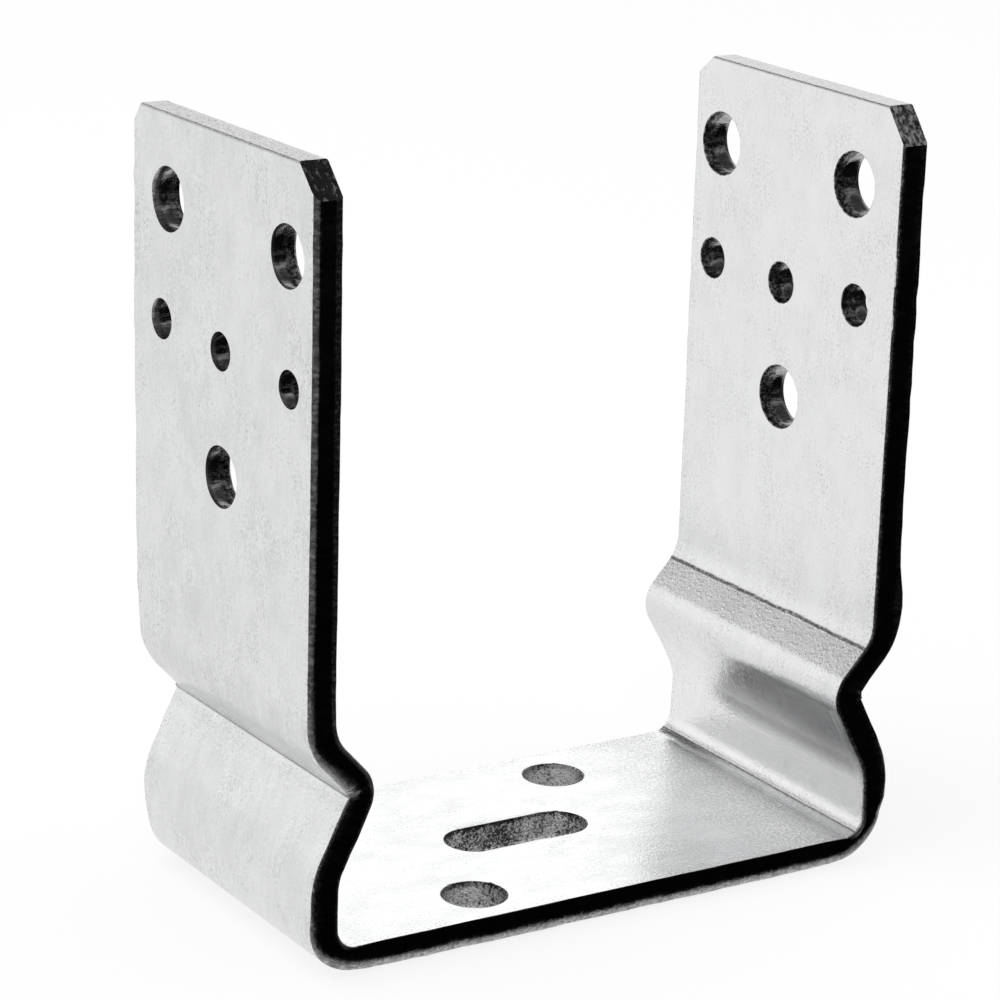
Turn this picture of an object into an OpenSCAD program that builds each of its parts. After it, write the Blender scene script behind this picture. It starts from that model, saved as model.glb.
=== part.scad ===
/* [Strip] */
// Thickness of the steel strip, mm
strip_t = 5; // [3:0.5:8]
// Width of the strip from its front edge to its back edge, mm
strip_w = 60; // [52:1:90]

/* [Folded section] */
// Clear width between the upright flanges, the same as between the walls of the foot, mm
inner_w = 108; // [92:1:160]
// Height from the underside of the base to the top of a flange, mm
total_h = 134.5; // [128:0.5:200]
// How far the ridge of the pinched waist stands in from the flange, mm
waist_in = 7; // [5:0.5:10]
// Upright run of the foot wall between the corner and the lower slope, mm
wall_run = 5.6; // [2:0.2:12]
// Lean of the slope under the ridge, from upright, degrees
lower_lean = 28; // [20:1:40]
// Lean of the slope over the ridge, from upright, degrees
upper_lean = 42; // [25:1:55]
// Inside radius of the corner between base and wall, mm
corner_r = 3.5; // [1:0.5:6]
// Inside radius of the bend from the wall into the lower slope, mm
foot_r = 10; // [4:0.5:14]
// Radius left in the outer groove of the pinched waist, mm
waist_r = 1; // [0.5:0.5:3]
// Inside radius of the bend from the upper slope into the flange, mm
shoulder_r = 7; // [3:0.5:12]
// Length of each cut top corner of a flange across the strip, mm
cut_y = 4.8; // [2:0.2:8]
// Height of each cut top corner of a flange, mm
cut_z = 5.2; // [2:0.2:8]

/* [Flange holes] */
// Diameter of the three large holes in a flange, mm
large_d = 11; // [6:0.5:13]
// Diameter of the three small holes in a flange, mm
small_d = 7; // [3:0.5:9]
// Distance of the upper pair of large holes from the edges of the strip, mm
upper_edge = 10.5; // [9:0.5:16]
// Distance of the outer two small holes from the edges of the strip, mm
small_edge = 8.5; // [6:0.5:14]
// Distance of the upper pair of large holes below the top of the flange, mm
upper_drop = 15; // [12:0.5:20]
// Distance of the row of small holes below the top of the flange, mm
small_drop = 35.5; // [32:0.5:42]
// Distance of the lower large hole below the top of the flange, mm
lower_drop = 56.5; // [52:0.5:66]
// Shift of the upper pair off the middle of the strip, mm
upper_shift = 2.4; // [0:0.1:2.5]
// Shift of the small row off the middle of the strip, mm
small_shift = 1.5; // [0:0.1:2]
// Shift of the lower hole off the middle of the strip, mm
lower_shift = 0.6; // [0:0.1:2]

/* [Base holes] */
// Diameter of the two round holes in the base, mm
base_d = 11; // [6:0.5:13]
// Distance of a round base hole from the middle, across the gap, mm
base_x = 21.5; // [20:0.5:30]
// Distance of a round base hole from the nearer edge of the strip, mm
base_edge = 9.6; // [8:0.1:12]
// Length of the slot in the base, mm
slot_l = 27.5; // [14:0.5:34]
// Width of the slot in the base, mm
slot_w = 10.5; // [6:0.5:13]

/* [Hidden] */
$fn = 96;
half_w = inner_w / 2;
fine = 12;
ridge_r = waist_r + strip_t;
ridge_x = half_w - waist_in + ridge_r;
base_run = half_w - corner_r;
lower_run = (waist_in - (ridge_r + foot_r) * (1 - cos(lower_lean))) / sin(lower_lean);
upper_run = (waist_in - (ridge_r + shoulder_r) * (1 - cos(upper_lean))) / sin(upper_lean);
wall_z = strip_t + corner_r + wall_run;
ridge_z = wall_z + (foot_r + ridge_r) * sin(lower_lean) + lower_run * cos(lower_lean);
flange_z = ridge_z + (ridge_r + shoulder_r) * sin(upper_lean) + upper_run * cos(upper_lean);

// Points of an arc about a centre with radius r, from one angle to another
function arc(centre, r, from_a, to_a, steps) = [
    for (i = [0 : steps])
        let (a = from_a + (to_a - from_a) * i / steps)
        [centre[0] + r * cos(a), centre[1] + r * sin(a)]
];

// The same points in the opposite order, and mirrored to the other side
function backwards(points) = [for (i = [len(points) - 1 : -1 : 0]) points[i]];
function other_side(points) = [for (p = points) [-p[0], p[1]]];

// Centres of the four bends of one side
corner_at = [base_run, strip_t + corner_r];
foot_at = [half_w - foot_r, wall_z];
ridge_at = [ridge_x, ridge_z];
shoulder_at = [half_w - shoulder_r, flange_z];

// One face of the strip on one side, from the base to the top of the flange. The face lies a depth
// under the inner face: corner, foot wall, lower slope, ridge, upper slope, shoulder, flange.
function side_face(depth) = concat(
    arc(corner_at, corner_r + depth, -90, 0, fine),
    arc(foot_at, foot_r + depth, 0, lower_lean, fine),
    arc(ridge_at, ridge_r - depth, 180 + lower_lean, 180 - upper_lean, fine),
    arc(shoulder_at, shoulder_r + depth, -upper_lean, 0, fine),
    [[half_w + depth, total_h]]
);

// The folded section, base underside on the x axis
module section() {
    inner = side_face(0);
    outer = side_face(strip_t);
    polygon(concat(outer, backwards(inner), other_side(inner), backwards(other_side(outer))));
}

// A hole through the flange on the +X side
module flange_hole(y, z, d) {
    translate([half_w - 1, y, z])
        rotate([0, 90, 0])
            cylinder(d = d, h = strip_t + 2);
}

// The six holes of the flange on the +X side, a little towards its back edge
module flange_holes() {
    for (s = [-1, 1])
        flange_hole(upper_shift + s * (strip_w / 2 - upper_edge), total_h - upper_drop, large_d);
    for (s = [-1, 0, 1])
        flange_hole(small_shift + s * (strip_w / 2 - small_edge), total_h - small_drop, small_d);
    flange_hole(lower_shift, total_h - lower_drop, large_d);
}

// The two cut top corners of the flange on the +X side
module corner_cuts() {
    for (s = [0, 1])
        mirror([0, s, 0])
            translate([half_w - 1, strip_w / 2, total_h])
                rotate([90, 0, 90])
                    linear_extrude(strip_t + 2)
                        polygon([[-cut_y, 0], [0, -cut_z], [2, -cut_z], [2, 2], [-cut_y, 2]]);
}

// The round hole in the back half of the base
module base_hole() {
    translate([base_x, strip_w / 2 - base_edge, -1])
        cylinder(d = base_d, h = strip_t + 2);
}

// The slot in the middle of the base, long across the gap
module base_slot() {
    translate([0, 0, -1])
        linear_extrude(strip_t + 2)
            union() {
                square([slot_l - slot_w, slot_w], center = true);
                for (s = [-1, 1])
                    translate([s * (slot_l - slot_w) / 2, 0])
                        circle(d = slot_w);
            }
}

// One strip of steel, folded; the holes of one flange are those of the other turned half round
module joist_hanger_strip() {
    color([0.78, 0.79, 0.80])
        difference() {
            rotate([90, 0, 0])
                linear_extrude(strip_w, center = true)
                    section();
            for (a = [0, 180])
                rotate([0, 0, a]) {
                    flange_holes();
                    corner_cuts();
                    base_hole();
                }
            base_slot();
        }
}

joist_hanger_strip();
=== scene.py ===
# Folded steel joist hanger: a strip swept along its fold line, punched, and finished as bright zinc.
import math

import bmesh
import bpy
import numpy as np
from mathutils import Matrix, Vector


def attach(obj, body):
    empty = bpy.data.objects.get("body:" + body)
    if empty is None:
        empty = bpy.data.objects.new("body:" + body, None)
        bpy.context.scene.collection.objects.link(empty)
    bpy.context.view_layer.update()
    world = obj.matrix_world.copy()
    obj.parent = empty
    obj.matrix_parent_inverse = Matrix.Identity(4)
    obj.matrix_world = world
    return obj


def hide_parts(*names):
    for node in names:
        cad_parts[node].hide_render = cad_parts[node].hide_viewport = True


mm = 0.001
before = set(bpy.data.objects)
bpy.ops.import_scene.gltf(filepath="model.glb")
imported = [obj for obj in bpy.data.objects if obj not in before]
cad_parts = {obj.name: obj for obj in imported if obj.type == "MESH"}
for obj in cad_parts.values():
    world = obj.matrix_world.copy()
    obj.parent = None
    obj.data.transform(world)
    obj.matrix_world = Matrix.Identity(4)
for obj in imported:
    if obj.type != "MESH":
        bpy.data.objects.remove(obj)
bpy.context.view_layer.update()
print("frame loaded")


# A node output that takes part in Python arithmetic
class Val:
    def __init__(self, tree, out):
        self.tree = tree
        self.out = out

    def math(self, operation, *others):
        return self.tree.node("ShaderNodeMath", {"operation": operation}, dict(enumerate((self,) + others)))

    def __add__(self, other):
        return self.math("ADD", other)

    def __sub__(self, other):
        return self.math("SUBTRACT", other)

    def __mul__(self, other):
        return self.math("MULTIPLY", other)

    def __truediv__(self, other):
        return self.math("DIVIDE", other)

    def __rsub__(self, other):
        return self.tree.node("ShaderNodeMath", {"operation": "SUBTRACT"}, {0: other, 1: self})

    __radd__ = __add__
    __rmul__ = __mul__

    def size(self):
        return self.math("ABSOLUTE")

    def clamped(self):
        return self.math("MAXIMUM", 0.0).math("MINIMUM", 1.0)


# Adds nodes to a material, world or geometry tree
class Tree:
    def __init__(self, nodeTree):
        self.nodeTree = nodeTree
        nodeTree.nodes.clear()

    def node(self, kind, settings=None, inputs=None, out=0):
        made = self.nodeTree.nodes.new(kind)
        for name, value in (settings or {}).items():
            setattr(made, name, value)
        for name, value in (inputs or {}).items():
            if isinstance(value, Val):
                self.nodeTree.links.new(value.out, made.inputs[name])
            else:
                made.inputs[name].default_value = value
        return Val(self, made.outputs[out]) if out is not None else made

    def noise(self, vector, by, detail=3.0, roughness=0.55):
        place = self.node("ShaderNodeVectorMath", {"operation": "MULTIPLY"}, {0: vector, 1: by})
        return self.node("ShaderNodeTexNoise", None, {
            "Vector": place, "Scale": 1.0, "Detail": detail, "Roughness": roughness})

    def parts(self, vector):
        made = self.node("ShaderNodeSeparateXYZ", None, {0: vector}, out=None)
        return [Val(self, made.outputs[i]) for i in range(3)]

    def rise(self, value, low, high):
        return self.node("ShaderNodeMapRange", {"interpolation_type": "SMOOTHSTEP"}, {
            "Value": value, "From Min": low, "From Max": high})

    def near(self, value, middle, reach):
        return 1 - self.rise((value - middle).size(), 0.0, reach)

    def colour(self, factor, a, b):
        made = self.node("ShaderNodeMix", {"data_type": "RGBA"}, {0: factor, 6: a, 7: b}, out=None)
        return Val(self, made.outputs[2])


def newMaterial(name):
    made = bpy.data.materials.new(name)
    made.use_nodes = True
    return made, Tree(made.node_tree)


def finishMetal(t, colour, roughness, height, depth):
    normal = t.node("ShaderNodeBump", None, {"Height": height, "Strength": 1.0, "Distance": depth})
    shader = t.node("ShaderNodeBsdfPrincipled", None, {
        "Base Color": colour, "Roughness": roughness, "Normal": normal, "Metallic": 1.0})
    t.node("ShaderNodeOutputMaterial", None, {"Surface": shader}, out=None)


# Sizes of the folded strip, in mm and degrees
strip = {
    "thickness": 5.0, "width": 60.0, "innerWidth": 108.0, "height": 134.5,
    "cornerRadius": 3.5, "footRadius": 10.0, "waistRadius": 1.0, "shoulderRadius": 7.0,
    "wallRun": 5.6, "waistIn": 7.0, "lowerLean": 28.0, "upperLean": 42.0,
    "innerRound": 0.5, "innerRoundLower": 0.7, "endRound": 0.35,
    # drawn-in edge beside the outer face: part, how far along it, depth, width, how bright it is painted, which is
    # painted light
    "rolls": [
        ("base", 0.0, 2.1, 1.2, 0.55), ("base", 0.9, 2.4, 1.4, 0.55), ("corner", 0.4, 3.4, 1.9, 0.45),
        ("wall", 0.1, 2.6, 1.4, 0.35), ("wall", 0.6, 0.9, 0.5, 0.2), ("foot", 0.4, 0.8, 0.4, 0.2),
        ("lower", 0.8, 0.8, 0.4, 0.2), ("ridge", 0.42, 0.9, 0.5, 0.3), ("ridge", 0.58, 3.2, 1.9, 0.9),
        ("upper", 0.2, 3.9, 2.7, 1.0), ("upper", 1.0, 3.2, 2.5, 0.7), ("shoulder", 0.6, 2.3, 2.0, 0.30),
        ("flange", 0.1, 1.4, 1.5, 0.06), ("flange", 0.98, 1.4, 1.5, 0.0),
    ],
    "rightRoll": 0.22, "baseRound": 0.15,  # share of the drawn-in edge on the right, inner rounding on the base
    "waistPush": 0.7, "cornerPush": 0.4, "cornerThin": 0.09, "shoulderSwell": 1.25,  # what folding did to the steel
    "wornWide": 0.9, "unevenEdge": 0.08, "unevenStep": 1.7, "seed": 5,
    # left side as bent: height, how far in at the front, and at the back
    "leftIn": [
        (0, 1.9, 1.9), (14, 1.9, 1.9), (31, 1.35, 1.1), (50, 0.85, 0.1), (100, 0.8, -0.5), (134.5, 0.5, -0.6),
    ],
    # size in Y and Z of the cut top corners, by side and by front or back
    "cuts": {(-1, -1): (5.1, 5.5), (-1, 1): (3.6, 4.6), (1, -1): (4.8, 6.1), (1, 1): (4.4, 3.6)},
}


def smooth(x):
    x = np.clip(x, 0, 1)
    return x * x * (3 - 2 * x)


def moveAlong(x, z, heading, amount, radius, m):
    # Place and heading after a share m of a straight run, or of a bend where there is a radius
    if not radius:
        return x + math.cos(heading) * amount * m, z + math.sin(heading) * amount * m, heading
    h = heading + math.copysign(amount, radius) * m
    return x + radius * (math.sin(h) - math.sin(heading)), z - radius * (math.cos(h) - math.cos(heading)), h


def foldLine(p):
    # Inner face of one side from mid base to flange top: x, z, heading, run, part, and where each part starts
    t = p["thickness"]
    half = p["innerWidth"] / 2
    ridge = p["waistRadius"] + t
    low, up = math.radians(p["lowerLean"]), math.radians(p["upperLean"])
    lowerRun = (p["waistIn"] - (ridge + p["footRadius"]) * (1 - math.cos(low))) / math.sin(low)
    upperRun = (p["waistIn"] - (ridge + p["shoulderRadius"]) * (1 - math.cos(up))) / math.sin(up)
    rise = (p["footRadius"] + ridge) * math.sin(low) + lowerRun * math.cos(low)
    flangeZ = t + p["cornerRadius"] + p["wallRun"] + rise
    flangeZ = flangeZ + (ridge + p["shoulderRadius"]) * math.sin(up) + upperRun * math.cos(up)
    parts = [
        ("base", half - p["cornerRadius"], 0), ("corner", math.pi / 2, p["cornerRadius"]), ("wall", p["wallRun"], 0),
        ("foot", low, p["footRadius"]), ("lower", lowerRun, 0), ("ridge", low + up, -ridge), ("upper", upperRun, 0),
        ("shoulder", up, p["shoulderRadius"]), ("flange", p["height"] - flangeZ, 0),
    ]
    x, z, heading, run = 0.0, t, 0.0, 0.0
    out, starts = [], {}
    for name, amount, radius in parts:
        starts[name] = run
        length = amount * abs(radius) if radius else amount
        steps = max(6, int(math.degrees(amount) / 4)) if radius else max(2, int(length / 2.5))
        marks = list(np.arange(steps) / steps)
        if name == "flange":
            e = p["endRound"] / length
            marks = marks + [1 - e, 1 - e * 0.55, 1 - e * 0.2, 1.0]
        for m in marks:
            out.append((*moveAlong(x, z, heading, amount, radius, m), run + length * m))
        x, z, heading = moveAlong(x, z, heading, amount, radius, 1.0)
        run += length
    starts["end"] = run
    return np.array(out), starts


def bentIn(p, x, z):
    # How far the left side stands in at each place, and how much less at the back than in the middle
    heights, front, back = np.array(p["leftIn"]).T
    share = smooth((-x - 27) / 24)
    return np.interp(z, heights, (front + back) / 2) * share, np.interp(z, heights, (back - front) / 2) * share


def rollTable(p, starts, run):
    # Depth, width and brightness of the drawn-in edge at each run
    ends = dict(zip(starts, list(starts.values())[1:]))
    at = [starts[part] + (ends[part] - starts[part]) * m for part, m, *rest in p["rolls"]]
    return [np.interp(np.abs(run), at, [row[k] for row in p["rolls"]]) for k in (2, 3, 4)]


def sectionLine(p):
    # Ring round the strip: how far across, then the shares of each rounding and depth that a point takes
    flat = [(a, 1, 0, 0, 0, 0) for a in np.linspace(-1, 1, 25)]
    edge = []
    for a in np.linspace(0, math.pi / 2, 6)[1:]:
        edge.append((1, 1 - math.sin(a), 0, 1 - math.cos(a), 0, 0))
    for m in np.linspace(0, 1, 6)[1:]:
        edge.append((1, 0, 0, 1, m, 0))
    for a in np.linspace(0, math.pi / 2, 9)[1:]:
        edge.append((1, 0, 1 - math.cos(a), 1, 1, math.sin(a)))
    far = [(a, 0, 1, 1, 1, 1) for a in np.linspace(1, -1, 25)[1:]]
    back = [(-a, b, c, d, e, f) for a, b, c, d, e, f in edge[::-1]][1:]
    return np.array(flat + edge + far + back)


def nodeGroup(name, sizes):
    # A geometry tree with one named input for each size
    group = bpy.data.node_groups.new(name, "GeometryNodeTree")
    group.interface.new_socket("Geometry", in_out="INPUT", socket_type="NodeSocketGeometry")
    sockets = {key: group.interface.new_socket(key, in_out="INPUT", socket_type="NodeSocketFloat") for key in sizes}
    group.interface.new_socket("Geometry", in_out="OUTPUT", socket_type="NodeSocketGeometry")
    t = Tree(group)
    given = t.node("NodeGroupInput", None, None, out=None)
    return group, t, [Val(t, out) for out in given.outputs], {key: s.identifier for key, s in sockets.items()}


def attribute(t, name, kind="FLOAT"):
    return t.node("GeometryNodeInputNamedAttribute", {"data_type": kind}, {"Name": name})


def plainMesh(obj, group, identifiers, sizes):
    modifier = obj.modifiers.new("nodes", "NODES")
    modifier.node_group = group
    for key, identifier in identifiers.items():
        modifier[identifier] = float(sizes[key])
    made = bpy.data.meshes.new_from_object(obj.evaluated_get(bpy.context.evaluated_depsgraph_get()))
    obj.modifiers.clear()
    obj.data = made


def lineObject(name, places, cyclic, marks):
    mesh = bpy.data.meshes.new(name)
    edges = [(i, i + 1) for i in range(len(places) - 1)] + ([(len(places) - 1, 0)] if cyclic else [])
    mesh.from_pydata([tuple(place) for place in places], edges, [])
    for key, values in marks.items():
        values = np.asarray(values, float)
        kind, field = ("FLOAT_VECTOR", "vector") if values.ndim > 1 else ("FLOAT", "value")
        mesh.attributes.new(key, kind, "POINT").data.foreach_set(field, values.ravel())
    obj = bpy.data.objects.new(name, mesh)
    bpy.context.collection.objects.link(obj)
    return obj


def recalc(mesh):
    fix = bmesh.new()
    fix.from_mesh(mesh)
    bmesh.ops.recalc_face_normals(fix, faces=fix.faces)
    fix.to_mesh(mesh)
    fix.free()


def makeStrip(p, side, starts):
    # The fold line as a rail with its marks, and the section swept along it
    left = side[::-1].copy()
    left[:, 0] *= -1
    left[:, 2] = math.pi - left[:, 2]
    left = left[:-1]
    line = np.concatenate([left, side])
    x, z, heading, run = line.T
    onLeft = np.arange(len(line)) < len(left)
    headingIn = np.where(onLeft, math.pi - heading, heading)
    inward = np.stack([-np.sin(headingIn) * np.where(onLeft, -1, 1), 0 * x, np.cos(headingIn)], 1)
    inBy, backBy = bentIn(p, x, z)
    rollDeep, rollWide, rollLight = rollTable(p, starts, run)
    slim = 1 - (1 - p["rightRoll"]) * smooth((run - starts["lower"]) / 3) * (x > 0)
    rng = np.random.RandomState(p["seed"])
    signed = np.where(x < 0, -run, run)
    edgePlaces = np.arange(-220, 220, p["unevenStep"])
    endPlaces = starts["end"] - np.array([1, 0.55, 0.2, 0]) * p["endRound"]

    def bump(name, after, shift, reach):
        # 1 at the middle of a part, moved on by a shift, and falling off over the reach
        return np.exp(-((run - (starts[name] + starts[after]) / 2 - shift) / reach) ** 2)

    marks = {
        "foldPlace": np.stack([(x + inBy) * mm, 0 * x, z * mm], 1), "inward": inward, "backBy": backBy,
        "rollDeep": rollDeep * slim, "rollWide": rollWide * slim,
        "innerScale": 1 - (1 - p["baseRound"] / p["innerRound"]) * (1 - smooth((run - starts["corner"] + 2) / 8)),
        "atLower": bump("lower", "ridge", -2.0, 7.0) * (x > 0),
        "atShoulder": bump("shoulder", "flange", 5.5, 5.2) * (x > 0),
        "uneven": np.interp(signed, edgePlaces, rng.rand(len(edgePlaces)) - 0.5),
        "atWaist": bump("ridge", "upper", 1.0, 4.2),
        "atCorner": bump("corner", "wall", 0.0, 3.4),
        "endIn": np.interp(run, endPlaces, np.array([0, 0.12, 0.5, 1.0]) * p["endRound"]),
    }
    rail = lineObject("stripRail", marks["foldPlace"], False, marks)
    ring = sectionLine(p)
    names = ("across", "innerShare", "rollShare", "innerDown", "flatDown", "rollDown")
    turns = np.linspace(0, 2 * math.pi, len(ring), endpoint=False)
    circle = np.stack([np.cos(turns), np.sin(turns), 0 * turns], 1) * mm
    section = lineObject("stripSection", circle, True, dict(zip(names, ring.T)))

    keys = [
        "thickness", "width", "innerRound", "innerRoundLower", "waistPush", "cornerPush", "cornerThin",
        "shoulderSwell", "wornWide", "unevenEdge",
    ]
    group, t, given, identifiers = nodeGroup("sweptStrip", keys)
    g = dict(zip(keys, given[1:]))
    railCurve = t.node("GeometryNodeMeshToCurve", None, {0: given[0]})
    info = t.node("GeometryNodeObjectInfo", None, {"Object": section}, out=None)
    sectionCurve = t.node("GeometryNodeMeshToCurve", None, {0: Val(t, info.outputs["Geometry"])})
    swept = t.node("GeometryNodeCurveToMesh", None, {
        "Curve": railCurve, "Profile Curve": sectionCurve, "Fill Caps": True})
    railMarks = (
        "rollDeep", "rollWide", "backBy", "atWaist", "atCorner", "endIn", "atLower", "atShoulder",
        "uneven", "innerScale")
    deep, wide, backBy, atWaist, atCorner, endIn, atLower, atShoulder, uneven, innerScale = [
        attribute(t, name) for name in railMarks]
    across, innerShare, rollShare, innerDown, flatDown, rollDown = [attribute(t, name) for name in names]
    thick = g["thickness"] * (1 - g["cornerThin"] * atCorner)
    innerRound = g["innerRound"] * innerScale + atLower * g["innerRoundLower"]
    down = innerRound * innerDown + (thick - deep - innerRound) * flatDown + deep * rollDown
    share = down / thick
    # how far folding pushed the edge out, then the half width and the depth that a point ends at
    push = g["waistPush"] * atWaist * (share * share * 1.2 - (1 - share) * 0.45)
    push = push + g["cornerPush"] * atCorner * ((1 - share) * (1 - share) - share * share * 0.8)
    push = push + uneven * g["unevenEdge"] * 4
    half = g["width"] * 0.5 - endIn - innerRound * (1 + atLower * g["wornWide"]) * innerShare - wide * rollShare
    half = half + push * (1 - innerShare) * (1 - rollShare)
    fromFace = endIn + share * (thick - endIn * 2 + atShoulder * g["shoulderSwell"] + uneven * g["unevenEdge"] * 2)
    offset = t.node("ShaderNodeVectorMath", {"operation": "SCALE"}, {
        0: attribute(t, "inward", "FLOAT_VECTOR"), "Scale": fromFace * -mm})
    sideways = t.node("ShaderNodeCombineXYZ", None, {"X": backBy * across * mm, "Y": across * half * mm})
    place = t.node("ShaderNodeVectorMath", {"operation": "ADD"}, {0: offset, 1: sideways})
    place = t.node("ShaderNodeVectorMath", {"operation": "ADD"}, {
        0: place, 1: attribute(t, "foldPlace", "FLOAT_VECTOR")})
    moved = t.node("GeometryNodeSetPosition", None, {"Geometry": swept, "Position": place})
    real = t.node("GeometryNodeRealizeInstances", None, {0: moved})
    painted = t.node("GeometryNodeSetMaterial", None, {"Geometry": real, "Material": materials[0]})
    t.node("NodeGroupOutput", None, {0: painted}, out=None)
    plainMesh(rail, group, identifiers, p)
    bpy.data.objects.remove(section)
    rail.name = "folded_strip"
    recalc(rail.data)
    return rail


# Sizes of the punched holes, in mm
punch = {
    "largeRadius": 5.5, "smallRadius": 3.5, "seed": 11,
    # rounding of the mouth and its depth, how much tighter the mouth is, how much wider the exit, its tearing,
    # and how far both ends of the cut stand past the faces
    "lip": 0.14, "lipDeep": 0.6, "tight": 0.36, "exitWide": 0.32, "tear": 0.10, "past": 0.015,
    "upperShift": 2.4, "smallShift": 1.5, "lowerShift": 0.6,
    "upperY": 19.5, "smallY": 21.5, "upperZ": 119.5, "smallZ": 99.0, "lowerZ": 78.0,
    "baseX": 21.5, "baseY": 20.4, "slotLength": 27.5, "slotWidth": 10.5,
    # how far each flange hole stands from its nominal place, in Y and Z: upper pair, lower one, small row, front first
    "scatter": {
        -1: [(0.4, -0.6), (0.0, 0.75), (0.0, -0.1), (0.7, -1.15), (1.0, -0.15), (-0.75, 0.8)],
        1: [(0.0, 0.0), (0.1, -0.2), (0.5, -0.5), (0.9, -0.25), (0.7, -0.9), (0.1, -0.9)],
    },
    # the same in X and Y for the front base hole, the back one and the slot
    "baseScatter": [(0.9, -0.4), (-0.2, -0.6), (0.7, -0.2)],
}


def makePunch(name, p, r, stretch=0.0, around=80):
    # A lathed tool: drawn-in mouth, smooth cut, then torn steel, with uneven walls
    rng = np.random.RandomState(p["seed"])
    half = strip["thickness"] / 2
    # each step: how far along, radius, roughness
    steps = [(-half - 0.8, r + p["lip"] * 1.6, 0)]
    for a in np.linspace(0, math.pi / 2, 6):
        steps.append((-half - p["past"] + p["lipDeep"] * math.sin(a), r - p["tight"] + p["lip"] * (1 - math.sin(a)), 0))
    for m in np.linspace(0, 1, 8)[1:]:
        deep = -half + p["lipDeep"] + (2 * half - 1.0 - p["lipDeep"]) * m
        steps.append((deep, r - p["tight"] * (1 - m) ** 2, 1 if m > 0.35 else 0.15))
    steps += [(half - 0.3, r + 0.05, 0.7), (half - 0.1, r + p["exitWide"] * 0.4, 0.5)]
    steps += [(half + p["past"], r + p["exitWide"], 0.3), (half + 0.8, r + 0.9, 0)]
    noise = rng.rand(len(steps), around)
    noise = (noise + np.roll(noise, 1, 1) + np.roll(noise, -1, 1)) / 3 - 0.5
    verts, faces = [], []
    for i, (along, radius, rough) in enumerate(steps):
        for k in range(around):
            a = 2 * math.pi * (k + 0.5) / around
            reach = radius + p["tear"] * rough * noise[i, k] * 2
            shift = math.copysign(stretch / 2, math.cos(a))
            verts.append((along * mm, (math.cos(a) * reach + shift) * mm, math.sin(a) * reach * mm))
    for i in range(len(steps) - 1):
        for k in range(around):
            a, b = i * around + k, i * around + (k + 1) % around
            faces.append((a, a + around, b + around, b))
    faces.append(tuple(range(around)))
    faces.append(tuple((len(steps) - 1) * around + k for k in range(around - 1, -1, -1)))
    mesh = bpy.data.meshes.new(name)
    mesh.from_pydata(verts, [], faces)
    obj = bpy.data.objects.new(name, mesh)
    bpy.context.collection.objects.link(obj)
    return obj


def punchRow(name, tool, places, material):
    # One copy of the tool on each hole place
    turns = [turn for place, turn in places]
    obj = lineObject(name, [np.array(place) * mm for place, turn in places], False, {"holeTurn": turns})
    group, t, given, identifiers = nodeGroup(name, ["Hole scale"])
    turned = t.node("FunctionNodeEulerToRotation", None, {0: attribute(t, "holeTurn", "FLOAT_VECTOR")})
    info = t.node("GeometryNodeObjectInfo", None, {"Object": tool, "As Instance": True}, out=None)
    copies = t.node("GeometryNodeInstanceOnPoints", None, {
        "Points": given[0], "Instance": Val(t, info.outputs["Geometry"]), "Rotation": turned, "Scale": given[1]})
    real = t.node("GeometryNodeRealizeInstances", None, {0: copies})
    painted = t.node("GeometryNodeSetMaterial", None, {"Geometry": real, "Material": material})
    t.node("NodeGroupOutput", None, {0: painted}, out=None)
    plainMesh(obj, group, identifiers, {"Hole scale": 1.0})
    return obj


def cornerTool(p, material):
    # The prisms that cut the top corners of both flanges, each a little different
    spare, beyond = 1, 3
    half, top = p["width"] / 2, p["height"]
    inner, outer = p["innerWidth"] / 2 - spare, p["innerWidth"] / 2 + p["thickness"] + spare
    verts, faces = [], []
    for sx in (-1, 1):
        for sy in (-1, 1):
            start = len(verts)
            cutY, cutZ = p["cuts"][sx, sy]
            outline = [
                (half - cutY, top), (half, top - cutZ), (half + beyond, top - cutZ),
                (half + beyond, top + beyond), (half - cutY, top + beyond)]
            for x in (inner, outer):
                verts += [(sx * x * mm, sy * y * mm, z * mm) for y, z in outline]
            faces += [[start + k for k in range(5)], [start + 5 + k for k in range(5)]]
            faces += [[start + k, start + (k + 1) % 5, start + 5 + (k + 1) % 5, start + 5 + k] for k in range(5)]
    mesh = bpy.data.meshes.new("cornerTool")
    mesh.from_pydata(verts, [], faces)
    mesh.materials.append(material)
    obj = bpy.data.objects.new("cornerTool", mesh)
    bpy.context.collection.objects.link(obj)
    return obj


def cutBody(body, cutters):
    # Every cutter taken from the strip, and the result kept as a plain mesh
    for cutter in cutters:
        recalc(cutter.data)
        cut = body.modifiers.new("cut", "BOOLEAN")
        cut.object = cutter
        cut.operation = "DIFFERENCE"
        cut.solver = "EXACT"
        cut.material_mode = "TRANSFER"
    made = bpy.data.meshes.new_from_object(body.evaluated_get(bpy.context.evaluated_depsgraph_get()))
    body.modifiers.clear()
    body.data = made


def unroll(p, side, places):
    # Place of each point on the flat strip, in mm: across, signed run from mid base, depth from the inner face
    x, z, heading, run = side.T
    right = places[:, 0] >= 0
    out = np.zeros((len(places), 3))
    for which in (True, False):
        pick = np.where(right == which)[0]
        lineX = x if which else x - bentIn(p, -x, z)[0]
        q = np.stack([np.abs(places[pick, 0]), places[pick, 2]], 1) / mm
        if not which:
            q[:, 0] = -places[pick, 0] / mm
        a = np.stack([lineX[:-1], z[:-1]], 1)
        d = np.stack([lineX[1:], z[1:]], 1) - a
        m = np.clip(((q[:, None] - a[None]) * d[None]).sum(2) / (d * d).sum(1)[None], 0, 1)
        gap = np.linalg.norm(q[:, None] - a[None] - m[..., None] * d[None], axis=2)
        best = gap.argmin(1)
        rows = np.arange(len(pick))
        out[pick, 1] = (run[:-1][best] + (run[1:] - run[:-1])[best] * m[rows, best]) * (1 if which else -1)
        out[pick, 2] = gap[rows, best]
    out[:, 0] = places[:, 1] / mm
    return out


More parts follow.
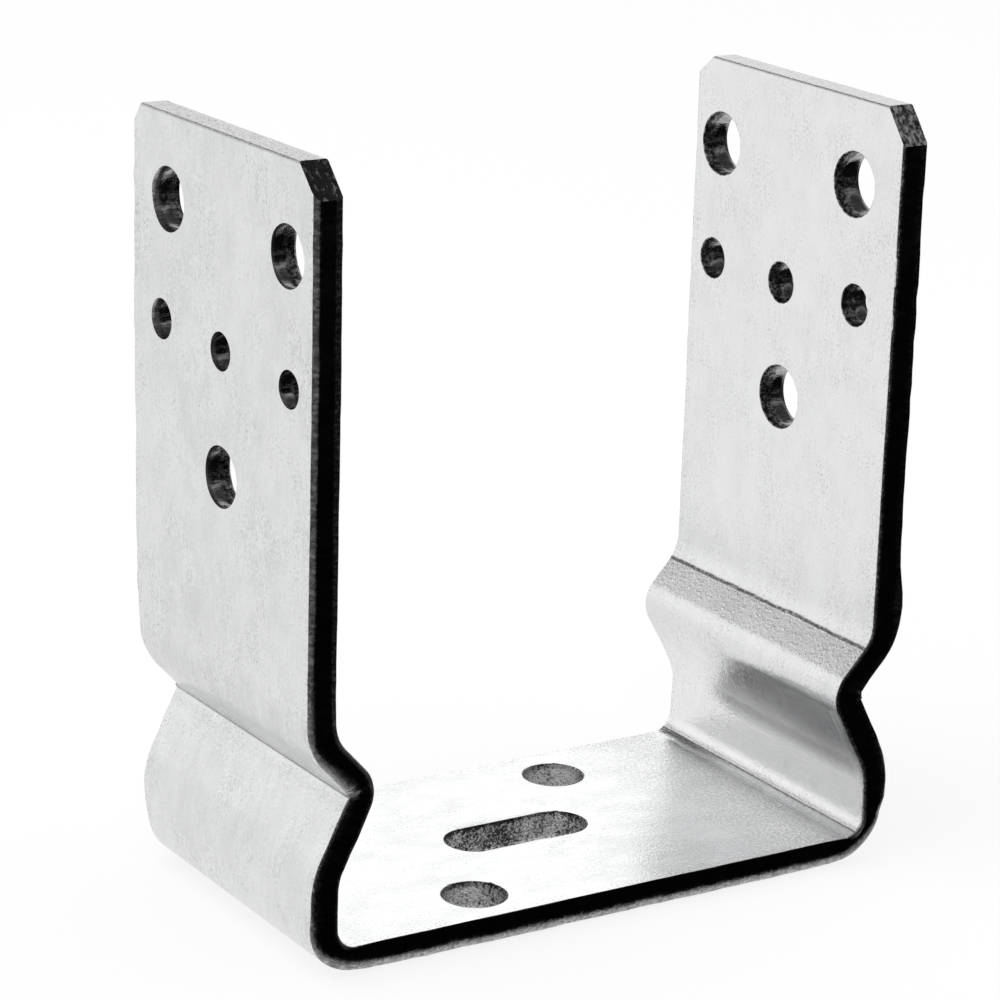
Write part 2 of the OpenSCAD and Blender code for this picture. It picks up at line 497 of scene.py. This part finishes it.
def sortFaces(body, p):
    # Faces of the sheared long edges and ends take the edge finish
    mesh = body.data
    places = np.array([v.co for v in mesh.vertices])
    flat = unroll(p, side, places)
    mesh.attributes.new("stripPlace", "FLOAT_VECTOR", "POINT").data.foreach_set("vector", flat.ravel())
    # painted light: the drawn-in edge is made lighter all along the left and the base, and hardly above the right foot
    light = rollTable(p, starts, flat[:, 1])[2] * (1 - 0.9 * smooth((flat[:, 1] - starts["lower"]) / 3))
    mesh.attributes.new("rollLight", "FLOAT", "POINT").data.foreach_set("value", light)
    zinc = mesh.materials.find("zincFace")
    edge = mesh.materials.find("shearedEdge")
    for face in mesh.polygons:
        if face.material_index != zinc:
            continue
        middle = flat[list(face.vertices)].mean(0)
        if abs(face.normal.y) > 0.4 or abs(middle[1]) > starts["end"] - 0.05:
            face.material_index = edge


# Zinc coated faces
zincFace = {
    "light": (0.86, 0.865, 0.87, 1), "dullAndShade": (0.64, 0.645, 0.65, 1),
    "markAndShade": (0.16, 0.16, 0.165, 1), "bright": (0.98, 0.98, 0.985, 1),
    "roughness": 0.19, "grainDepth": 0.00007,
}


def makeZincFace(p):
    material, t = newMaterial("zincFace")
    strip3 = t.node("ShaderNodeAttribute", {"attribute_name": "stripPlace"}, None, out=1)
    across, run, depth = t.parts(strip3)
    far = run.size()
    line = starts
    onRight = t.rise(run, 0, 1)
    inner = 1 - t.rise(depth, 1.5, 3.0)
    edgeBand = t.rise(across.size(), 27.0, 29.7)
    wobble = (t.noise(strip3, (0.10, 0.05, 0.1), 3.0) - 0.5) * 1.6
    wobble = wobble + (t.noise(strip3, (0.9, 0.4, 1), 2.0) - 0.5) * 0.35
    # coating: fine grain that comes and goes, drag marks along the strip, clouds, flakes and pinholes
    grain = t.noise(strip3, (2.4, 1.7, 2.4), 2.0, 0.6)
    drag = t.noise(strip3, (1.3, 0.30, 1.3), 3.0, 0.6)
    cloud = t.noise(strip3, (0.05, 0.035, 0.2), 4.0, 0.6)
    blot = t.noise(strip3, (0.20, 0.13, 0.2), 3.0, 0.55)
    patchy = t.rise(t.noise(strip3, (0.11, 0.07, 0.2), 3.0, 0.6) + edgeBand * 0.25, 0.44, 0.62)
    flake = t.rise(t.noise(strip3, (1.5, 1.1, 1.5), 2.0, 0.5), 0.54, 0.70)
    crackle = t.noise(strip3, (1.1, 1.9, 1.2), 4.0, 0.72)
    speck = t.rise(t.noise(strip3, (2.6, 2.2, 2.6), 1.0, 0.4) - patchy * 0.045 - edgeBand * 0.04, 0.27, 0.19)
    # folds, as lines and as bands beside them; the dark lines in the concave sides of the folds, and the dark line
    # along the top ends, are painted shade
    shoulderLine = t.near(far + wobble * 0.8, line["shoulder"] + 0.6, 0.5) * inner
    baseLine = t.near(far + wobble * 0.3, line["corner"] + 2.3, 0.4) * inner
    grooveLine = t.near(far + wobble * 0.4, (line["ridge"] + line["upper"]) / 2, 1.9) * (1 - inner)
    groovePucker = t.near(far + wobble, line["ridge"] - 1.0, 3.6) * (1 - inner)
    folded = t.near(far, (line["ridge"] + line["shoulder"]) / 2 + 2.5, 12.0) * inner
    bent = t.rise(far, line["corner"] + 1, line["corner"] + 4)
    bent = bent * (1 - t.rise(far, line["lower"] - 2, line["ridge"] + 3)) * inner
    cornerBend = t.near(far, (line["corner"] + line["wall"]) / 2, 5.5) * inner
    flat = 1 - t.rise(far, line["corner"] - 3, line["corner"] + 1)
    endLine = t.rise(far, line["end"] - 0.55, line["end"] - 0.25)
    creases = (shoulderLine * 1.1 + baseLine * 0.9 + grooveLine * 0.9).clamped() * (crackle * 3.4 - 0.9).clamped()
    creases = creases + endLine * crackle
    calm = 1 - flat * 0.5
    # painted shade, mixed in through the dull share: the base darker near the corner fold, and the outer face darker
    # beside the shoulder
    nearFold = flat * t.rise(run, 24, 48)
    slopeShade = t.near(far, line["shoulder"], 9.0) * (1 - inner)
    rightFlange = t.rise(far, line["shoulder"] + 2, line["shoulder"] + 16) * onRight * inner
    waist = (line["lower"] + line["ridge"]) / 2
    # painted shade standing in for a dark reflection: a darker patch on the right lower slope, which also holds back
    # the painted sheen there
    paintedDarkPatch = t.near(far + wobble * 2.0, waist - 1.0, 10.0) * onRight * t.rise(across * -1, -12, 26) * inner
    worn = t.near(far, waist - 2.0, 12.0) * onRight * t.rise(across * -1, 26.6, 28.2) * inner
    # shade: dull zinc over light, with painted shade in the dull share; then painted sheen and highlights; then marks,
    # among them painted shade in the creases and the darker patch
    fineDull = (drag - 0.5) * (0.5 + patchy * 1.1) + (grain - 0.5) * (0.8 + patchy * 2.2) - flake * patchy * 0.3
    dullAndShade = cloud * 0.9 + blot * 0.8 + fineDull * calm - 0.62 + flat * 0.12 + nearFold * 0.42 + slopeShade * 0.5
    dullAndShade = dullAndShade + (folded * 0.7 + groovePucker * 2.6 + nearFold * 2.6) * (crackle - 0.5)
    dullAndShade = (dullAndShade + nearFold * (grain - 0.5) * 5.0).clamped()
    shade = t.colour(dullAndShade, p["light"], p["dullAndShade"])
    # painted highlights: a glint line beside the foot, and the bent band, folded band and right flange made lighter
    # towards the bright colour
    footGlint = t.near(far + wobble * 0.4, line["wall"] + strip["wallRun"] + 1.0, 0.5) * inner
    paintedSheen = (footGlint * 0.7 + bent + folded * 0.6 + rightFlange * 0.55).clamped()
    shade = t.colour(paintedSheen * (1 - dullAndShade * 0.6) * (1 - paintedDarkPatch * 0.9), shade, p["bright"])
    shade = t.colour((creases + speck * 0.45 + paintedDarkPatch * (0.22 + crackle * 0.7)).clamped(), shade, p["markAndShade"])
    roughness = p["roughness"] + (blot - 0.5) * 0.08 + folded * 0.08 + bent * 0.04 + nearFold * 0.06 + creases * 0.2
    # relief
    rub = folded * (0.30 + t.rise(far + wobble * 4.0, line["upper"] - 1.0, line["shoulder"] + 3.0)) + nearFold * 0.9
    sparkle = flat * t.rise(run, 6, 20) * (1 - nearFold)
    height = (grain * (0.4 + patchy * 0.5 + sparkle * 1.6 + nearFold * 2.0) + drag * 0.3 + flake * 0.3) * calm
    height = height + blot * (0.7 + flat * 0.6)
    height = height + (rub + groovePucker * 2.0 + bent * 0.5 + cornerBend * 0.9 + worn * 4.0) * crackle
    height = height - creases * 1.2 - speck * 0.4
    finishMetal(t, shade, roughness, height, p["grainDepth"])
    return material


# Sheared long edges and ends of the strip
shearedEdge = {
    "light": (0.34, 0.34, 0.343, 1), "dark": (0.045, 0.045, 0.046, 1),
    "bare": (0.84, 0.84, 0.845, 1), "rolled": (0.62, 0.62, 0.625, 1),  # the ends, and the drawn-in roll
    "roughness": 0.20, "depth": 0.00008,
}


def makeShearedEdge(p):
    material, t = newMaterial("shearedEdge")
    strip3 = t.node("ShaderNodeAttribute", {"attribute_name": "stripPlace"}, None, out=1)
    across, run, depth = t.parts(strip3)
    drag = t.noise(strip3, (1.0, 1.6, 0.35), 4.0, 0.65)
    grit = t.noise(strip3, (1.9, 1.5, 1.9), 4.0, 0.75)
    uneven = (t.noise(strip3, (0.5, 0.35, 0.5), 4.0, 0.7) - 0.5) * 2.6
    bright = t.node("ShaderNodeAttribute", {"attribute_name": "rollLight"}, None, out=2)
    roll = t.rise(depth + uneven + bright * 1.4, 3.2, 5.4)
    mouth = (1 - t.rise(depth, 0.3, 1.0)) * t.rise(run.size(), starts["corner"], starts["corner"] + 3)
    top = t.rise(run.size(), starts["end"] - 0.5, starts["end"] - 0.2)
    lit = (roll + top + mouth).clamped()
    shade = t.colour((drag * 1.6 + 0.1 - lit * bright * 1.2).clamped(), p["light"], p["dark"])
    rightTop = top * t.rise(run, 0, 1)
    speckled = (grit * 6.0 - 3.5 + bright * 1.7 + top * 1.7 + rightTop + mouth * 0.4).clamped()
    bare = (roll + top + mouth * 0.6).clamped() * speckled
    shade = t.colour(bare, shade, t.colour(top, p["rolled"], p["bare"]))
    roughness = p["roughness"] + (drag - 0.5) * 0.1 + lit * 0.22
    finishMetal(t, shade, roughness, drag * 0.4 + grit * (0.15 + lit * 2.2), p["depth"])
    return material


# Cut corners and punched hole walls
cutCorner = {
    "light": (0.78, 0.78, 0.785, 1), "dark": (0.05, 0.05, 0.051, 1),
    "roughness": 0.30, "depth": 0.00030, "scale": 1.3, "shadeLeft": 0.75,
}
punchedWall = {
    "light": (0.50, 0.50, 0.505, 1), "baseLight": (0.64, 0.64, 0.645, 1),  # in the flanges, in the base
    "dark": (0.04, 0.04, 0.041, 1), "roughness": 0.17, "depth": 0.00020, "scale": 1.2,
}


def makeCutCorner(p):
    material, t = newMaterial("cutCorner")
    place = t.node("ShaderNodeTexCoord", None, None, out=3)
    x, y, z = t.parts(place)
    scale = p["scale"] / mm
    grit = t.noise(place, (scale, scale * 0.6, scale * 0.6), 4.0, 0.66)
    lump = t.noise(place, (scale * 0.35,) * 3, 3.0, 0.5)
    left = 1 - t.rise(x, -0.01, 0.01)
    shade = t.colour((grit * 6.5 + lump * 1.6 - 3.5 + left * p["shadeLeft"]).clamped(), p["light"], p["dark"])
    finishMetal(t, shade, p["roughness"] + (lump - 0.5) * 0.3, grit + lump, p["depth"])
    return material


def makePunchedWall(p):
    # Drawn-in mouth at the outer face, burnished middle, torn steel towards the inner face.
    # The walls in the base are torn all through.
    material, t = newMaterial("punchedWall")
    strip3 = t.node("ShaderNodeAttribute", {"attribute_name": "stripPlace"}, None, out=1)
    place = t.node("ShaderNodeTexCoord", None, None, out=3)
    across, run, depth = t.parts(strip3)
    scale = p["scale"] / mm
    grit = t.noise(place, (scale,) * 3, 4.0, 0.7)
    lump = t.noise(place, (scale * 0.2,) * 3, 2.0, 0.5)
    streak = t.noise(strip3, (2.4, 2.4, 0.35), 2.0, 0.6)
    fine = t.noise(place, (scale * 1.7,) * 3, 3.0, 0.7)
    x, y, z = t.parts(place)
    uneven = (lump - 0.5) * 3.0
    inBase = 1 - t.rise(run.size(), 45, 50)
    torn = (1 - t.rise(depth + uneven, 1.6, 2.6)) * (1 - inBase) + inBase
    drawn = t.rise(depth + uneven * 0.3, 3.7, 4.5)
    # painted light: walls that face down, at the tops of the holes, are made lighter
    upper = t.rise(t.parts(t.node("ShaderNodeNewGeometry", None, None, out=1))[2] * -1, 0.15, 0.55)
    broken = torn * (0.6 + lump * 0.6)
    wall = (grit * 5.5 - 2.5) * (0.2 + broken) + streak * 1.2 - 0.2 - upper * 0.3
    inRound = t.rise(y.size(), 0.008, 0.013)
    floorWall = (fine - 0.5) * 4.8 + (lump - 0.5) * 2.2 + 0.72 - inRound * 0.42
    floorWall = floorWall - t.rise(x, -0.012, 0.016) * (0.45 - inRound * 0.15)  # lighter to the right
    floorWall = floorWall + (1 - t.rise(depth, 0.2, 1.1)) * 0.45  # dark top rim
    light = t.colour(inBase, p["light"], p["baseLight"])
    shade = t.colour((wall * (1 - inBase) + floorWall * inBase).clamped(), light, p["dark"])
    roughness = p["roughness"] + drawn * 0.16 + broken * 0.12 + (streak - 0.5) * 0.1 + inBase * 0.1
    height = grit * (0.08 + broken * (1 - inBase)) + fine * inBase * 0.8 + streak * 0.22
    finishMetal(t, shade, roughness, height, p["depth"])
    return material


side, starts = foldLine(strip)
materials = [
    makeZincFace(zincFace), makeShearedEdge(shearedEdge), makeCutCorner(cutCorner), makePunchedWall(punchedWall)]
print("materials made")
body = makeStrip(strip, side, starts)
body.data.materials.append(materials[1])
print("strip swept:", len(body.data.polygons), "faces")

# Hole places: middle of the thickness, and each hole's own offset. The tool's mouth is at the outer face.
mid = (strip["innerWidth"] + strip["thickness"]) / 2
floorMid = strip["thickness"] / 2
largePlaces, smallPlaces = [], []
for sx in (-1, 1):
    turn = (0, 0, 0) if sx < 0 else (0, 0, math.pi)
    places = [(sx * punch["upperShift"] + sy * punch["upperY"], punch["upperZ"]) for sy in (-1, 1)]
    places.append((sx * punch["lowerShift"], punch["lowerZ"]))
    places += [(sx * punch["smallShift"] + sy * punch["smallY"], punch["smallZ"]) for sy in (-1, 0, 1)]
    places = [((sx * mid, y + dy, z + dz), turn) for (y, z), (dy, dz) in zip(places, punch["scatter"][sx])]
    largePlaces += places[:3]
    smallPlaces += places[3:]
    dx, dy = punch["baseScatter"][0 if sx < 0 else 1]
    largePlaces.append(((sx * punch["baseX"] + dx, sx * punch["baseY"] + dy, floorMid), (0, -math.pi / 2, 0)))
tools = [
    makePunch("largeTool", punch, punch["largeRadius"]),
    makePunch("smallTool", punch, punch["smallRadius"], 0.0, 64),
    makePunch("slotTool", punch, punch["slotWidth"] / 2, punch["slotLength"] - punch["slotWidth"], 96),
]
slotPlaces = [((*punch["baseScatter"][2], floorMid), (0, -math.pi / 2, math.pi / 2))]
cutters = [
    punchRow("largeHoles", tools[0], largePlaces, materials[3]),
    punchRow("smallHoles", tools[1], smallPlaces, materials[3]),
    punchRow("slotHole", tools[2], slotPlaces, materials[3]),
    cornerTool(strip, materials[2]),
]
cutBody(body, cutters)
for spare in cutters + tools:
    bpy.data.objects.remove(spare)
sortFaces(body, strip)
body.data.shade_smooth()
body.data.set_sharp_from_angle(angle=math.radians(38))
weigh = body.modifiers.new("weigh", "WEIGHTED_NORMAL")
weigh.keep_sharp = True
weigh.mode = "FACE_AREA"
print("holes cut:", len(body.data.polygons), "faces,", [m.name for m in body.data.materials])
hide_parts("joist_hanger_strip")
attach(body, "root")

# Floor, backdrop light and dark flags
studio = {
    "floorReach": 6, "floor": 0.92, "floorGlow": 0.8, "floorMirror": 0.87,
    "sky": 1.0, "skySide": 0.92, "skyBack": 0.34, "skyTop": 0.10, "patch": 0.97, "skyFill": 0.85,
    "lampPower": 9.0, "lampSize": 1.2, "lampPlace": (-0.5, 0.2, 1.5), "lampAim": (0.5, -0.2, -1.45),
    "darkFront": 0.006,
    "cardCorners": [(-0.10, -0.0315, 0.0002), (2.2, -0.0315, 0.0002), (3.4, -3.0, 0.0002), (-0.8, -3.0, 0.0002)],
}


def makeFloor(p):
    mesh = bpy.data.meshes.new("floor")
    r = p["floorReach"]
    mesh.from_pydata([(-r, -r, 0), (r, -r, 0), (r, r, 0), (-r, r, 0)], [], [(0, 1, 2, 3)])
    floor = bpy.data.objects.new("floor", mesh)
    bpy.context.collection.objects.link(floor)
    material, t = newMaterial("paleFloor")
    plain = t.node("ShaderNodeBsdfDiffuse", None, {"Color": (p["floor"], p["floor"], p["floor"], 1)})
    path = t.node("ShaderNodeLightPath", None, None, out=None)
    camera, glossy = Val(t, path.outputs["Is Camera Ray"]), Val(t, path.outputs["Is Glossy Ray"])
    glow = t.node("ShaderNodeEmission", None, {"Color": (1, 1, 1, 1), "Strength": camera + glossy * p["floorMirror"]})
    mixed = t.node("ShaderNodeMixShader", None, {0: (camera * p["floorGlow"] + glossy).clamped(), 1: plain, 2: glow})
    t.node("ShaderNodeOutputMaterial", None, {"Surface": mixed}, out=None)
    mesh.materials.append(material)


def makeCard(name, corners, shade):
    # A flat card that only reflections see
    mesh = bpy.data.meshes.new(name)
    mesh.from_pydata(corners, [], [(0, 1, 2, 3)])
    card = bpy.data.objects.new(name, mesh)
    bpy.context.collection.objects.link(card)
    material, t = newMaterial(name)
    glow = t.node("ShaderNodeEmission", None, {"Color": (shade, shade, shade, 1), "Strength": 1.0})
    t.node("ShaderNodeOutputMaterial", None, {"Surface": glow}, out=None)
    mesh.materials.append(material)
    card.visible_camera = card.visible_diffuse = card.visible_shadow = card.visible_transmission = False


def makeWorld(p):
    # White to the camera; to reflections a bright low sky with a dark patch, a dark front and a dim top
    world = bpy.data.worlds.new("studio")
    bpy.context.scene.world = world
    world.use_nodes = True
    t = Tree(world.node_tree)
    x, y, z = t.parts(t.node("ShaderNodeTexCoord", None, None, out=0))
    path = t.node("ShaderNodeLightPath", None, None, out=None)
    flag = t.rise(x * -0.047 + y * 0.807 + z * 0.589, 0.925, 0.985)
    low = (1 - t.rise(z, 0.55, 0.70)) * (1 - flag * p["patch"])
    front = t.rise(y * -0.84 + x * 0.54, 0.05, 0.5) * (1 - t.rise(z, 0.35, 0.7))
    back = t.rise(y * 0.843 + x * 0.537, 0.42, 0.80)
    around = (1 - front) * (p["skyTop"] + low * (p["skySide"] + back * p["skyBack"] - p["skyTop"]))
    around = around + front * p["darkFront"]
    camera, glossy = Val(t, path.outputs["Is Camera Ray"]), Val(t, path.outputs["Is Glossy Ray"])
    strength = camera * p["sky"] + (1 - camera) * (glossy * around + (1 - glossy) * p["skyFill"])
    sky = t.node("ShaderNodeBackground", None, {"Color": (1, 1, 1, 1), "Strength": strength})
    t.node("ShaderNodeOutputWorld", None, {"Surface": sky}, out=None)


def makeLamp(p):
    lamp = bpy.data.lights.new("softLamp", "AREA")
    lamp.energy = p["lampPower"]
    lamp.size = p["lampSize"]
    obj = bpy.data.objects.new("softLamp", lamp)
    bpy.context.collection.objects.link(obj)
    obj.location = p["lampPlace"]
    obj.rotation_euler = Vector(p["lampAim"]).to_track_quat("-Z", "Y").to_euler()
    obj.visible_glossy = False


makeFloor(studio)
makeCard("floorCard", studio["cardCorners"], studio["darkFront"])
makeWorld(studio)
makeLamp(studio)
print("studio made")

# Camera as fitted to the photograph, with its focal length in parts of 1000 of the picture's width
view = {
    "place": (-0.325833, -0.504310, 0.248204),
    "right": (0.84794342, -0.52924647, 0.02983519),
    "up": (0.12977857, 0.26183954, 0.95634595),
    "ahead": (0.51395475, 0.80705528, -0.29070996),
    "focal": 3671.55, "sensor": 36.0,
}
lens = bpy.data.cameras.new("camera")
lens.sensor_width = view["sensor"]
lens.lens = view["sensor"] * view["focal"] / 1000
lens.clip_start = 0.01
camera = bpy.data.objects.new("camera", lens)
bpy.context.collection.objects.link(camera)
turn = Matrix((view["right"], view["up"], [-a for a in view["ahead"]])).transposed().to_4x4()
camera.matrix_world = Matrix.Translation(view["place"]) @ turn
bpy.context.scene.camera = camera
bpy.context.scene.view_settings.view_transform = "Standard"
